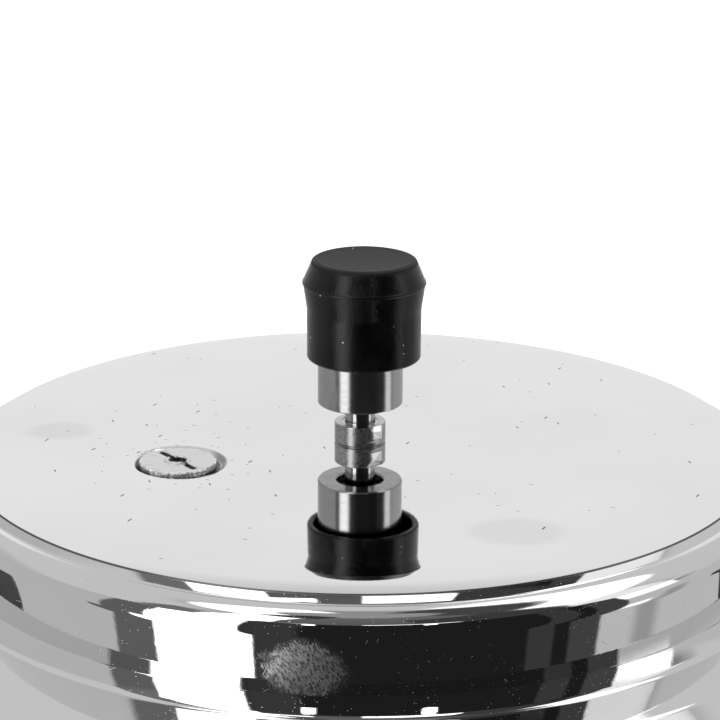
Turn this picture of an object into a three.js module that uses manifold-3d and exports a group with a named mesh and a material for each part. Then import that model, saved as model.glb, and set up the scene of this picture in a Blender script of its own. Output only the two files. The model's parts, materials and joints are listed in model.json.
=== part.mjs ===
// Stovetop pressure cooker with an outer lid: a pot with a sandwich base, a lid that turns under
// bayonet lugs, a weighted steam valve on a vent tube, and a screwed safety plug.
// Millimetres, +Z up. The origin is the centre of the base's underside, and +X runs along the
// pot's long handle. The lid stands as it is set on the pot, one turn of LOCK_TURN short of locked.
import * as THREE from 'three';
import { mergeVertices } from 'three/addons/utils/BufferGeometryUtils.js';
import Module from 'manifold-3d';

const wasm = await Module();
wasm.setup();

// Fits and facets
const GAP = 0.3; // air left between two pieces that touch
const SHEET = 1.5; // steel sheet of the pot and the lid
const BIG_FACETS = 48; // round the pot and the lid
const SMALL_FACETS = 24; // round the valve parts
const SCREW_FACETS = 12;

// Pot
const POT_RADIUS = 109.5; // outside of the wall
const FLOOR_Z = 6.3; // underside of the pot's own floor
const FLOOR_CORNER = 14; // radius between floor and wall
const RIM_Z = 131; // top of the turned-out rim
const RIM_CORNER = 3.5; // radius under the rim
const RIM_RADIUS = 113.2; // edge of the rim between its lugs
const BASE_RADIUS = 92;
const BASE_SHEET = 0.8; // steel cup that covers the heat-spreading core

// Bayonet
const LUG_COUNT = 8;
const LUG_ANGLE = 20; // degrees that one lug covers
const LOCK_TURN = 22.5; // degrees from set on to locked
const POT_LUG_RADIUS = 115.6; // how far the rim's lugs reach out
const POT_LUG_HEIGHT = 2.7;
const LID_LUG_RADIUS = 113.9; // how far the lid's lugs reach in
const LID_LUG_HEIGHT = 2.2;

// Lid
const LID_RADIUS = 118;
const LID_BOTTOM_Z = 125.5;
const LID_EDGE_Z = 170; // edge of the raised, nearly flat top
const LID_EDGE_RADIUS = 92;
const LID_CROWN = 1.25; // rise of the top from its edge to its centre
const CROWN_POWER = 10; // the top is flat in the middle and falls away close to its edge
const LID_TOP_Z = LID_EDGE_Z + LID_CROWN;

// Vent and weight, heights above the top of the lid
const VENT_RADIUS = 3.55;
const VENT_HEIGHT = 22.5;
const VENT_BORE = 1.2;
const VENT_SHANK = 4.2; // radius of the threaded part through the lid
const VENT_DEPTH = 11; // how far it reaches below the top of the lid
const COLLAR_RADIUS = 6;
const COLLAR_HEIGHT = 5;
const FLAT_DISTANCE = 5.44; // from the axis to each spanner flat
const FLAT_BOTTOM = 1.4;
const FLAT_AZIMUTH = -57.4; // degrees from +X
const WEIGHT_BOTTOM = 9.6;
const WEIGHT_TOP = 36;
const WEIGHT_RADIUS = 10;
const WEIGHT_BORE = 5.5;
const NEEDLE_RADIUS = 2.9;
const STUD_RADIUS = 4.5; // top of the weight, held by the cap
const STUD_HEIGHT = 3.5;
const CAP_BOTTOM = 20.7;
const CAP_TOP = 44.45;
const CAP_RADIUS = 13.35;
const CAP_RIDGE_RADIUS = 14.4;
const CAP_RIDGE_HEIGHT = 38.9;
const CAP_TOP_RADIUS = 12;
const CAP_WALL = 1.5;
const CAP_OFFSET = 0.8; // how far off the weight's axis the moulded cap sits, towards +X

// Safety plug
const PLUG_X = -42;
const PLUG_Y = -16;
const PLUG_RADIUS = 8.95;
const PLUG_HEAD = 1.3; // height of the head
const PLUG_SHANK = 6; // radius of the threaded part
const PLUG_DEPTH = 9; // how far it reaches below the head
const PLUG_BORE = 2.1;
const PLUG_SLOT = { length: 14.6, width: 1.4, depth: 0.8, azimuth: -54 };
const DIMPLE_RADIUS = 11; // pressed seat round the plug
const DIMPLE_DEPTH = 1.1;

// Handles
const HANDLE_WIDTH = 28;
const POT_HANDLE = { start: 118, end: 292, bottom: 97, top: 120, sag: 3 };
const LID_HANDLE = { start: 124, end: 284, bottom: 124, top: 142, sag: 3 };
const TONGUE_WIDTH = 14;
const TONGUE_END = 172; // where the steel tongues end inside both long handles
const POT_TONGUE = { bottom: 106, top: 111 };
const LID_TONGUE = { bottom: 129, top: 133.5 };
const SCREW_POSITIONS = [142, 162]; // along +X
const SCREW_RADIUS = 2.1;
const SCREW_HEAD = { radius: 4, height: 2.4 };
const SCREW_SEAT = 2; // wall left between a counterbore and the tongue above it
const SCREW_REACH = 2; // how far a screw's tip stands above its tongue
const HELPER = { near: 114, far: 158, halfWidth: 42, bottom: 99, top: 116 };
const FINGER_GAP = { near: 123, far: 143, halfWidth: 25 };
const EAR = { y: 33.5, width: 8, bottom: 105.5, top: 109.5, end: 136, screwX: 127 };

const steel = (shade, roughness) =>
  new THREE.MeshStandardMaterial({ color: shade, roughness, metalness: 1 });
const plain = (shade, roughness) =>
  new THREE.MeshStandardMaterial({ color: shade, roughness, metalness: 0 });
const MIRROR = steel(0xd8d8d8, 0.08);
const SATIN = steel(0xbcbcbc, 0.35);
const ALUMINIUM = steel(0xc4c4c2, 0.5);
const PHENOLIC = plain(0x161616, 0.45);
const CAP_BLACK = plain(0x101010, 0.4);
const RUBBER = plain(0x3a3a3a, 0.8);
const ALLOY = steel(0x9a9a98, 0.6);

const degrees = THREE.MathUtils.degToRad;

// ---------- solids ----------

// A closed solid from a geometry: one vertex per corner, and no collapsed triangles.
function toSolid(geometry) {
  const bare = geometry.clone();
  bare.deleteAttribute('normal');
  bare.deleteAttribute('uv');
  const merged = mergeVertices(bare, 1e-3);
  const index = merged.getIndex().array;
  const triangles = [];
  for (let i = 0; i < index.length; i += 3) {
    const [a, b, c] = [index[i], index[i + 1], index[i + 2]];
    if (a !== b && b !== c && c !== a) triangles.push(a, b, c);
  }
  return new wasm.Manifold(new wasm.Mesh({
    numProp: 3,
    vertProperties: new Float32Array(merged.getAttribute('position').array),
    triVerts: new Uint32Array(triangles),
  }));
}

function toGeometry(solid) {
  const mesh = solid.getMesh();
  const geometry = new THREE.BufferGeometry();
  geometry.setAttribute('position', new THREE.BufferAttribute(mesh.vertProperties, 3));
  geometry.setIndex(new THREE.BufferAttribute(mesh.triVerts, 1));
  return geometry;
}

const join = (first, ...others) =>
  toGeometry(others.reduce((solid, other) => solid.add(toSolid(other)), toSolid(first)));

const cut = (first, ...others) =>
  toGeometry(others.reduce((solid, other) => solid.subtract(toSolid(other)), toSolid(first)));

// ---------- outlines ----------

// Points [radius, height] along an arc in a turned outline.
function arc(centreR, centreZ, radius, fromDegrees, toDegrees, steps) {
  const points = [];
  for (let i = 0; i <= steps; i += 1) {
    const angle = degrees(fromDegrees + ((toDegrees - fromDegrees) * i) / steps);
    points.push([centreR + radius * Math.cos(angle), centreZ + radius * Math.sin(angle)]);
  }
  return points;
}

// The other face of a sheet: every corner of the path moved to its left by the thickness.
function offsetLeft(path, thickness) {
  const normals = path.slice(1).map(([r, z], i) => {
    const [dr, dz] = [r - path[i][0], z - path[i][1]];
    const length = Math.hypot(dr, dz);
    return [-dz / length, dr / length];
  });
  return path.map(([r, z], i) => {
    const onAxis = r === 0;
    const before = normals[Math.max(i - 1, 0)];
    const after = normals[Math.min(i, normals.length - 1)];
    const sum = [before[0] + after[0], before[1] + after[1]];
    const scale = (2 * thickness) / (sum[0] ** 2 + sum[1] ** 2);
    return onAxis ? [0, z + Math.sign(after[1]) * thickness] : [r + sum[0] * scale, z + sum[1] * scale];
  });
}

// ---------- shapes ----------

// Turns a closed outline of [radius, height] points about Z, with the material on its left.
function turned(outline, facets) {
  const points = outline.map(([r, z]) => new THREE.Vector2(r, z));
  return new THREE.LatheGeometry(points, facets).rotateX(Math.PI / 2);
}

// A turned outline that keeps clear of the axis closes on its first point.
const turnedRing = (outline, facets) => turned([...outline, outline[0]], facets);

const tube = (inner, outer, bottom, top, facets) =>
  turnedRing([[inner, bottom], [outer, bottom], [outer, top], [inner, top]], facets);

const rod = (radius, bottom, top, facets) =>
  turned([[0, bottom], [radius, bottom], [radius, top], [0, top]], facets);

function block(x0, x1, y0, y1, z0, z1) {
  const box = new THREE.BoxGeometry(x1 - x0, y1 - y0, z1 - z0);
  return box.translate((x0 + x1) / 2, (y0 + y1) / 2, (z0 + z1) / 2);
}

// A plan outline raised from z0 to z1, with rounded edges if a bevel is given.
function raised(shape, z0, z1, bevel = 0) {
  const geometry = new THREE.ExtrudeGeometry(shape, {
    depth: z1 - z0 - 2 * bevel,
    bevelEnabled: bevel > 0,
    bevelThickness: bevel,
    bevelSize: bevel,
    bevelOffset: -bevel,
    bevelSegments: 2,
    curveSegments: 6,
  });
  return geometry.translate(0, 0, z0 + bevel);
}

// Part of a ring between two radii, centred on an azimuth.
function sector(inner, outer, z0, z1, azimuth, angle, curveSegments = 4) {
  const half = degrees(angle / 2);
  const shape = new THREE.Shape();
  shape.absarc(0, 0, outer, -half, half, false);
  shape.absarc(0, 0, inner, half, -half, true);
  const geometry = new THREE.ExtrudeGeometry(shape, {
    depth: z1 - z0,
    bevelEnabled: false,
    curveSegments,
  });
  return geometry.translate(0, 0, z0).rotateZ(degrees(azimuth));
}

// A slot with round ends along X.
function stadium(centreX, centreY, length, width) {
  const shape = new THREE.Shape();
  const straight = (length - width) / 2;
  shape.absarc(centreX + straight, centreY, width / 2, -Math.PI / 2, Math.PI / 2, false);
  shape.absarc(centreX - straight, centreY, width / 2, Math.PI / 2, (3 * Math.PI) / 2, false);
  return shape;
}

function hexNut(acrossFlats, hole, z0, z1) {
  const corner = acrossFlats / Math.sqrt(3);
  const shape = new THREE.Shape();
  for (let i = 0; i < 6; i += 1) {
    const angle = degrees(60 * i);
    const point = [corner * Math.cos(angle), corner * Math.sin(angle)];
    if (i === 0) shape.moveTo(...point);
    else shape.lineTo(...point);
  }
  shape.closePath();
  return cut(raised(shape, z0, z1), rod(hole, z0 - 1, z1 + 1, SMALL_FACETS));
}

// A pan-head screw that points up into a tongue, with a cross recess under its head.
function screw(x, y, tongue) {
  const { radius, height } = SCREW_HEAD;
  const headBottom = tongue.bottom - SCREW_SEAT - GAP - height;
  const tip = tongue.top + SCREW_REACH;
  const outline = [
    [0, headBottom],
    [radius - 0.8, headBottom],
    [radius, headBottom + 0.8],
    [radius, headBottom + height],
    [SCREW_RADIUS, headBottom + height],
    [SCREW_RADIUS, tip],
    [0, tip],
  ];
  const arm = radius * 0.55;
  const recess = [
    block(-arm, arm, -0.5, 0.5, headBottom - 1, headBottom + 1),
    block(-0.5, 0.5, -arm, arm, headBottom - 1, headBottom + 1),
  ];
  return cut(turned(outline, SCREW_FACETS), ...recess).translate(x, y, 0);
}

// The room that such a screw takes in a handle: its shank and the counterbore of its head.
function screwHole(x, y, bottom, tongue) {
  const head = SCREW_HEAD.radius + GAP;
  const shank = SCREW_RADIUS + GAP;
  const seat = tongue.bottom - SCREW_SEAT;
  const top = tongue.top + SCREW_REACH + GAP;
  const outline = [[0, bottom - 1], [head, bottom - 1], [head, seat], [shank, seat],
    [shank, top], [0, top]];
  return turned(outline, SCREW_FACETS).translate(x, y, 0);
}

// ---------- pot ----------

function potBody() {
  const rimUnder = RIM_Z - SHEET;
  const outside = [
    [0, FLOOR_Z],
    ...arc(POT_RADIUS - FLOOR_CORNER, FLOOR_Z + FLOOR_CORNER, FLOOR_CORNER, 270, 360, 4),
    ...arc(POT_RADIUS + RIM_CORNER, rimUnder - RIM_CORNER, RIM_CORNER, 180, 90, 3),
    [RIM_RADIUS, rimUnder],
  ];
  const inside = offsetLeft(outside, SHEET).reverse();
  const lugs = [];
  for (let i = 0; i < LUG_COUNT; i += 1) {
    const azimuth = (360 * i) / LUG_COUNT;
    lugs.push(sector(RIM_RADIUS - 1, POT_LUG_RADIUS, RIM_Z - POT_LUG_HEIGHT, RIM_Z, azimuth, LUG_ANGLE));
  }
  return join(turned([...outside, ...inside], BIG_FACETS), ...lugs);
}

const baseCore = () => rod(
  BASE_RADIUS - BASE_SHEET - GAP, BASE_SHEET + GAP, FLOOR_Z - GAP, BIG_FACETS,
);

function baseCover() {
  const top = FLOOR_Z - GAP;
  const inner = BASE_RADIUS - BASE_SHEET;
  return turned([[0, 0], [inner, 0], [BASE_RADIUS, BASE_SHEET], [BASE_RADIUS, top], [inner, top],
    [inner, BASE_SHEET], [0, BASE_SHEET]], BIG_FACETS);
}

// A plate welded to a round wall, with a tongue that the handle slides over.
function bracket(wallRadius, plate, tongue) {
  const inner = wallRadius + GAP;
  const half = TONGUE_WIDTH / 2;
  return join(
    sector(inner, inner + SHEET, plate.bottom, plate.top, 0, plate.angle),
    block(inner + 1, TONGUE_END, -half, half, tongue.bottom, tongue.top),
  );
}

function drilled(geometry, bottom, top) {
  const holes = SCREW_POSITIONS.map((x) =>
    rod(SCREW_RADIUS + GAP, bottom - 1, top + 1, SCREW_FACETS).translate(x, 0, 0));
  return cut(geometry, ...holes);
}

// A long grip: a side outline with a slight sag underneath, widened along Y with rounded edges.
function grip({ start, end, bottom, top, sag }) {
  const nose = 9;
  const middle = (start + end) / 2;
  const shape = new THREE.Shape();
  shape.moveTo(start, bottom);
  shape.quadraticCurveTo(middle, bottom + 2 * sag, end - nose, bottom);
  shape.quadraticCurveTo(end, bottom, end, (bottom + top) / 2);
  shape.quadraticCurveTo(end, top, end - nose, top);
  shape.quadraticCurveTo(middle, top - sag, start, top);
  shape.closePath();
  const side = raised(shape, -HANDLE_WIDTH / 2, HANDLE_WIDTH / 2, 5);
  return side.rotateX(Math.PI / 2);
}

// A grip with the mortise for its tongue and the counterbored holes for its two screws.
function handle(size, tongue) {
  const half = TONGUE_WIDTH / 2 + GAP;
  const mortise = block(size.start - 10, TONGUE_END + GAP, -half, half,
    tongue.bottom - GAP, tongue.top + GAP);
  const holes = SCREW_POSITIONS.map((x) => screwHole(x, 0, size.bottom, tongue));
  return cut(grip(size), mortise, ...holes);
}

function potHandle() {
  const { end, bottom, top } = POT_HANDLE;
  const eye = raised(stadium(end - 20, 0, 22, 8), bottom - 1, top + 1);
  return cut(handle(POT_HANDLE, POT_TONGUE), eye);
}

// A steel sleeve round the tongue that keeps flames off the pot handle's root.
function flameGuard() {
  const near = POT_RADIUS + GAP + SHEET + GAP;
  const far = POT_HANDLE.start - GAP;
  const half = HANDLE_WIDTH / 2 - 1;
  const { bottom, top } = POT_TONGUE;
  const rim = block(near, far, -half, half, bottom - 7, top + 7);
  const room = block(near - 1, far + 1, -half + 1, half - 1, bottom - 6, top + 6);
  return cut(rim, room);
}

function helperBracket() {
  const inner = POT_RADIUS + GAP;
  const plate = sector(inner, inner + SHEET, EAR.bottom - 5, EAR.top + 5, 180, 44, 6);
  const ears = [-1, 1].map((side) => {
    const [y0, y1] = [side * EAR.y - EAR.width / 2, side * EAR.y + EAR.width / 2];
    const ear = block(-EAR.end, -POT_RADIUS + 5, y0, y1, EAR.bottom, EAR.top);
    const hole = rod(SCREW_RADIUS + GAP, EAR.bottom - 1, EAR.top + 1, SCREW_FACETS);
    return cut(ear, hole.translate(-EAR.screwX, side * EAR.y, 0),
      rod(inner + 0.2, EAR.bottom - 1, EAR.top + 1, BIG_FACETS));
  });
  return join(plate, ...ears);
}

function helperHandle() {
  const { near, far, halfWidth, bottom, top } = HELPER;
  const shape = new THREE.Shape();
  shape.moveTo(-near, -halfWidth);
  shape.quadraticCurveTo(-far, -halfWidth, -far, -halfWidth / 2);
  shape.lineTo(-far, halfWidth / 2);
  shape.quadraticCurveTo(-far, halfWidth, -near, halfWidth);
  shape.closePath();
  const gap = new THREE.Shape();
  gap.moveTo(-FINGER_GAP.near, -FINGER_GAP.halfWidth);
  gap.quadraticCurveTo(-FINGER_GAP.far, -FINGER_GAP.halfWidth, -FINGER_GAP.far, -FINGER_GAP.halfWidth / 2);
  gap.lineTo(-FINGER_GAP.far, FINGER_GAP.halfWidth / 2);
  gap.quadraticCurveTo(-FINGER_GAP.far, FINGER_GAP.halfWidth, -FINGER_GAP.near, FINGER_GAP.halfWidth);
  gap.closePath();
  const rooms = [-1, 1].flatMap((side) => {
    const half = EAR.width / 2 + GAP;
    const y = side * EAR.y;
    return [
      block(-EAR.end - GAP, -near + 20, y - half, y + half, EAR.bottom - GAP, EAR.top + GAP),
      screwHole(-EAR.screwX, y, bottom, EAR),
    ];
  });
  const wallRoom = rod(POT_RADIUS + 2 * GAP + SHEET, bottom - 1, top + 1, BIG_FACETS);
  return cut(raised(shape, bottom, top, 4), raised(gap, bottom - 1, top + 1), wallRoom, ...rooms);
}

// ---------- lid ----------

// Height of the lid's top above its edge, at a part of the way from the centre to the edge.
const crownHeight = (part) => LID_CROWN * (1 - part ** CROWN_POWER);

// The lid's outer face from the bottom of its skirt to its centre, heights from the top's edge.
function lidFace() {
  const heights = [
    [LID_RADIUS, LID_BOTTOM_Z - LID_EDGE_Z],
    ...arc(LID_RADIUS - 5, -38.5, 5, 0, 48, 3), // skirt into flange
    [109.5, -28.2], // crease on the flange
    ...arc(100.95, -22.94, 2.5, 260, 212, 2), // hollow between the flange and the flare
    [97.05, -20.9], // crease at the top of the flare
    ...arc(93.6, -7.4, 5.4, 0, 86, 4), // rounded shoulder, overhanging the wall a little
    [93.4, -1.85], // foot of the step below the edge of the top
    [LID_EDGE_RADIUS + 0.15, -0.1],
  ];
  const crown = [1, 0.97, 0.93, 0.87, 0.75, 0].map((part) => [LID_EDGE_RADIUS * part, crownHeight(part)]);
  return [...heights, ...crown].map(([r, z]) => [r, z + LID_EDGE_Z]);
}

const PLUG_PART = Math.hypot(PLUG_X, PLUG_Y) / LID_EDGE_RADIUS;

const PLUG_FLOOR_Z = LID_EDGE_Z + crownHeight(PLUG_PART) - DIMPLE_DEPTH;
const PLUG_HEAD_Z = PLUG_FLOOR_Z + GAP; // underside of the plug's head

function lidShell() {
  const outside = lidFace();
  const inside = offsetLeft(outside, SHEET).reverse();
  const lugs = [];
  for (let i = 0; i < LUG_COUNT; i += 1) {
    const azimuth = LOCK_TURN + (360 * i) / LUG_COUNT;
    lugs.push(sector(LID_LUG_RADIUS, LID_RADIUS - SHEET / 2, LID_BOTTOM_Z,
      LID_BOTTOM_Z + LID_LUG_HEIGHT, azimuth, LUG_ANGLE));
  }
  const seat = rod(DIMPLE_RADIUS + SHEET, PLUG_FLOOR_Z - SHEET, PLUG_FLOOR_Z + 0.2, SMALL_FACETS);
  const dimple = turned([[0, PLUG_FLOOR_Z], [PLUG_RADIUS + 0.4, PLUG_FLOOR_Z],
    [DIMPLE_RADIUS, PLUG_FLOOR_Z + 2], [0, PLUG_FLOOR_Z + 2]], SMALL_FACETS);
  const plugHole = rod(PLUG_SHANK + GAP, PLUG_FLOOR_Z - 5, PLUG_FLOOR_Z + 5, SMALL_FACETS);
  const ventHole = rod(VENT_SHANK + GAP, LID_TOP_Z - 5, LID_TOP_Z + 5, SMALL_FACETS);
  const pressed = join(turned([...inside, ...outside], BIG_FACETS), ...lugs,
    seat.translate(PLUG_X, PLUG_Y, 0));
  return cut(pressed, dimple.translate(PLUG_X, PLUG_Y, 0), plugHole.translate(PLUG_X, PLUG_Y, 0),
    ventHole);
}

// A lipped ring in the lid's flange: the lower lip lies on the pot's rim.
function gasket() {
  const bottom = RIM_Z + GAP;
  return turnedRing([
    [106.5, bottom],
    [115.4, bottom],
    [115.4, bottom + 1.4],
    [108.6, bottom + 7.6],
    [106.8, bottom + 7.2],
    [107, bottom + 5.6],
    [112.4, bottom + 2],
    [112.2, bottom + 1.3],
    [106.5, bottom + 1.2],
  ], BIG_FACETS);
}

function ventTube() {
  const outline = [
    [VENT_BORE, -VENT_DEPTH],
    [VENT_SHANK - 0.4, -VENT_DEPTH],
    [VENT_SHANK, -VENT_DEPTH + 0.6],
    [VENT_SHANK, GAP],
    [COLLAR_RADIUS, GAP],
    [COLLAR_RADIUS, COLLAR_HEIGHT - 0.2],
    [COLLAR_RADIUS - 0.2, COLLAR_HEIGHT],
    [VENT_RADIUS, COLLAR_HEIGHT],
    [VENT_RADIUS, VENT_HEIGHT - 1.2],
    [VENT_RADIUS - 1, VENT_HEIGHT],
    [VENT_BORE + 0.7, VENT_HEIGHT],
    [VENT_BORE, VENT_HEIGHT - 0.9],
  ];
  const flats = [0, 180].map((turn) =>
    block(FLAT_DISTANCE, COLLAR_RADIUS + 1, -COLLAR_RADIUS, COLLAR_RADIUS, FLAT_BOTTOM, COLLAR_HEIGHT + 1)
      .rotateZ(degrees(FLAT_AZIMUTH + turn)));
  return cut(turnedRing(outline, SMALL_FACETS), ...flats);
}

function safetyPlug() {
  const lip = 0.35; // raised ring round the bore
  const outline = [
    [PLUG_BORE, -PLUG_DEPTH],
    [PLUG_SHANK, -PLUG_DEPTH],
    [PLUG_SHANK, 0],
    [PLUG_RADIUS, 0],
    [PLUG_RADIUS, PLUG_HEAD - 0.25],
    [PLUG_RADIUS - 0.25, PLUG_HEAD],
    [PLUG_BORE + 0.7, PLUG_HEAD],
    [PLUG_BORE + 0.6, PLUG_HEAD + lip],
    [PLUG_BORE, PLUG_HEAD + lip],
  ];
  const { length, width, depth, azimuth } = PLUG_SLOT;
  const slot = raised(stadium(0, 0, length, width), PLUG_HEAD - depth, PLUG_HEAD + 1);
  return cut(turnedRing(outline, SMALL_FACETS), slot.rotateZ(degrees(azimuth)));
}

// ---------- weight ----------

function weightBody() {
  const needleTop = WEIGHT_TOP - 3;
  const needleBottom = VENT_HEIGHT + 2;
  return turned([
    [0, needleTop],
    [NEEDLE_RADIUS + GAP, needleTop],
    [NEEDLE_RADIUS + GAP, needleBottom],
    [WEIGHT_BORE, needleBottom],
    [WEIGHT_BORE, WEIGHT_BOTTOM],
    [WEIGHT_RADIUS - 0.4, WEIGHT_BOTTOM],
    [WEIGHT_RADIUS, WEIGHT_BOTTOM + 0.4],
    [WEIGHT_RADIUS, WEIGHT_TOP],
    [STUD_RADIUS, WEIGHT_TOP],
    [STUD_RADIUS, WEIGHT_TOP + STUD_HEIGHT],
    [0, WEIGHT_TOP + STUD_HEIGHT],
  ], SMALL_FACETS);
}

function weightCap() {
  const roof = WEIGHT_TOP + GAP;
  const inner = CAP_RADIUS - CAP_WALL;
  const cap = turned([
    [0, roof],
    [inner, roof],
    [inner, CAP_BOTTOM],
    [CAP_RADIUS, CAP_BOTTOM],
    [CAP_RADIUS, CAP_BOTTOM + 11.6],
    [CAP_RIDGE_RADIUS - 0.5, CAP_RIDGE_HEIGHT - 2.6],
    [CAP_RIDGE_RADIUS, CAP_RIDGE_HEIGHT],
    [CAP_TOP_RADIUS + 0.4, CAP_TOP - 0.5],
    [CAP_TOP_RADIUS - 0.4, CAP_TOP],
    [CAP_TOP_RADIUS - 3, CAP_TOP - 0.3],
    [0, CAP_TOP - 0.5],
  ], SMALL_FACETS);
  const socket = rod(STUD_RADIUS + GAP, WEIGHT_TOP, roof + STUD_HEIGHT, SMALL_FACETS);
  return cut(cap.translate(CAP_OFFSET, 0, 0), socket);
}

// The pointed seat that closes the vent's bore until the steam lifts it.
function weightNeedle() {
  const shoulder = VENT_HEIGHT + 2;
  return turned([
    [0, VENT_HEIGHT - 0.8],
    [0.5, VENT_HEIGHT - 0.7],
    [NEEDLE_RADIUS - 0.4, shoulder - 0.4],
    [NEEDLE_RADIUS, shoulder],
    [NEEDLE_RADIUS, WEIGHT_TOP - 3 - GAP],
    [0, WEIGHT_TOP - 3 - GAP],
  ], SMALL_FACETS);
}

// An open spring ring in the weight's bore, which snaps over the vent tube.
const weightClip = () => sector(
  VENT_RADIUS + 0.4, WEIGHT_BORE - 0.4, WEIGHT_BOTTOM + 2, WEIGHT_BOTTOM + 3.2, 90, 310, 24,
);

// ---------- assembly ----------

function piece(name, geometry, material) {
  const mesh = new THREE.Mesh(geometry, material);
  mesh.name = name;
  return mesh;
}

function potAssembly() {
  const group = new THREE.Group();
  const plate = { bottom: POT_TONGUE.bottom - 10, top: POT_TONGUE.top + 10, angle: 18 };
  const tongued = bracket(POT_RADIUS, plate, POT_TONGUE);
  group.add(
    piece('pot_body', potBody(), MIRROR),
    piece('base_core', baseCore(), ALUMINIUM),
    piece('base_cover', baseCover(), SATIN),
    piece('pot_bracket', drilled(tongued, POT_TONGUE.bottom, POT_TONGUE.top), SATIN),
    piece('pot_flame_guard', flameGuard(), MIRROR),
    piece('pot_handle', potHandle(), PHENOLIC),
    piece('helper_bracket', helperBracket(), SATIN),
    piece('helper_handle', helperHandle(), PHENOLIC),
  );
  ['inner', 'outer'].forEach((place, i) => {
    group.add(piece(`pot_screw_${place}`, screw(SCREW_POSITIONS[i], 0, POT_TONGUE), SATIN));
  });
  [['front', -1], ['rear', 1]].forEach(([place, side]) => {
    group.add(piece(`helper_screw_${place}`, screw(-EAR.screwX, side * EAR.y, EAR), SATIN));
  });
  return group;
}

function lidHandleAssembly() {
  const group = new THREE.Group();
  group.rotation.z = degrees(LOCK_TURN);
  const plate = { bottom: LID_BOTTOM_Z + 1, top: LID_TONGUE.top + 1.5, angle: 18 };
  const tongued = bracket(LID_RADIUS, plate, LID_TONGUE);
  group.add(
    piece('lid_bracket', drilled(tongued, LID_TONGUE.bottom, LID_TONGUE.top), SATIN),
    piece('lid_handle', handle(LID_HANDLE, LID_TONGUE), PHENOLIC),
  );
  ['inner', 'outer'].forEach((place, i) => {
    group.add(piece(`lid_screw_${place}`, screw(SCREW_POSITIONS[i], 0, LID_TONGUE), SATIN));
  });
  return group;
}

function ventAssembly() {
  const group = new THREE.Group();
  group.position.z = LID_TOP_Z;
  const seal = { top: -SHEET - GAP, height: 1.6 };
  const nutTop = seal.top - seal.height - GAP;
  const sealShape = tube(VENT_SHANK + GAP, 8.5, seal.top - seal.height, seal.top, SMALL_FACETS);
  group.add(
    piece('vent_tube', ventTube(), MIRROR),
    piece('vent_seal', sealShape, RUBBER),
    piece('vent_nut', hexNut(13, VENT_SHANK + GAP, nutTop - 4.5, nutTop), SATIN),
    piece('weight_body', weightBody(), MIRROR),
    piece('weight_cap', weightCap(), CAP_BLACK),
    piece('weight_needle', weightNeedle(), SATIN),
    piece('weight_clip', weightClip(), SATIN),
  );
  return group;
}

function plugAssembly() {
  const group = new THREE.Group();
  group.position.set(PLUG_X, PLUG_Y, PLUG_HEAD_Z);
  const sealTop = -GAP - SHEET - GAP;
  const sealBottom = sealTop - 1.6;
  const hole = PLUG_SHANK + GAP;
  const core = rod(PLUG_BORE - GAP, -PLUG_DEPTH, 0.6, SCREW_FACETS);
  group.add(
    piece('safety_plug', safetyPlug(), ALUMINIUM),
    piece('fusible_core', core, ALLOY),
    piece('plug_seal', tube(hole, 10, sealBottom, sealTop, SMALL_FACETS), RUBBER),
    piece('plug_nut', hexNut(19, hole, sealBottom - GAP - 4, sealBottom - GAP), SATIN),
  );
  return group;
}

const cooker = new THREE.Group();
cooker.name = 'pressure_cooker';
cooker.add(
  potAssembly(),
  piece('gasket', gasket(), RUBBER),
  piece('lid_shell', lidShell(), MIRROR),
  lidHandleAssembly(),
  ventAssembly(),
  plugAssembly(),
);

export default cooker;
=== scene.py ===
"""Looks of a stovetop pressure cooker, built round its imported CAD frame.

Metres, +Z up, front at -Y. Shapes are worked out in millimetres and scaled by MM as a mesh is made.
"""
import json
import math
import random

import bpy
import bmesh
import numpy as np
from mathutils import Matrix, Vector


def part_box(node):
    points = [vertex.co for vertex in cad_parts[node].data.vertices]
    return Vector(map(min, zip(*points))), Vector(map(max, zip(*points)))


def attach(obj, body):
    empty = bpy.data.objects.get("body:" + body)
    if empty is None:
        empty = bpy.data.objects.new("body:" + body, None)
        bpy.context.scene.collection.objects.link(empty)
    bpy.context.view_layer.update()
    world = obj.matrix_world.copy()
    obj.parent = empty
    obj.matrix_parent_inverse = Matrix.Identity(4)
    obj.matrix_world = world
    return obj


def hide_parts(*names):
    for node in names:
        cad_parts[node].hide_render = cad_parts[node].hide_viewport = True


MM = 0.001
BIG = 256  # facets round the pot and the lid
FINE = 96  # facets round the valve parts
TINY = 48  # facets round screws and cores

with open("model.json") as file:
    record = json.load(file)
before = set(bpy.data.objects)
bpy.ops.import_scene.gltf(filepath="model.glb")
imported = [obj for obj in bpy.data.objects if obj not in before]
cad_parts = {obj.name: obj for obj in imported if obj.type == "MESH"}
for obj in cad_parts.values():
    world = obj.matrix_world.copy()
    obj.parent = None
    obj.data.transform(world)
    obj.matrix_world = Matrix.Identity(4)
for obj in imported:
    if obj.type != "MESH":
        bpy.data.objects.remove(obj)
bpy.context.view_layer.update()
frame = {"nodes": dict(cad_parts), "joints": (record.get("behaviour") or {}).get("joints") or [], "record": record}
record = frame["record"]
NODE_BODY = {node: body for body, nodes in record["behaviour"]["bodies"].items() for node in nodes}
LOCK_TURN = -math.radians(next(j for j in frame["joints"] if j["name"] == "lid_turn")["range_deg"][0])


# ---------- places read from the frame ----------

def corners(node):
    """Lowest and highest corner of a CAD node, in millimetres."""
    low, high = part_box(node)
    return low / MM, high / MM


def middle(node):
    low, high = corners(node)
    return (low + high) / 2


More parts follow.
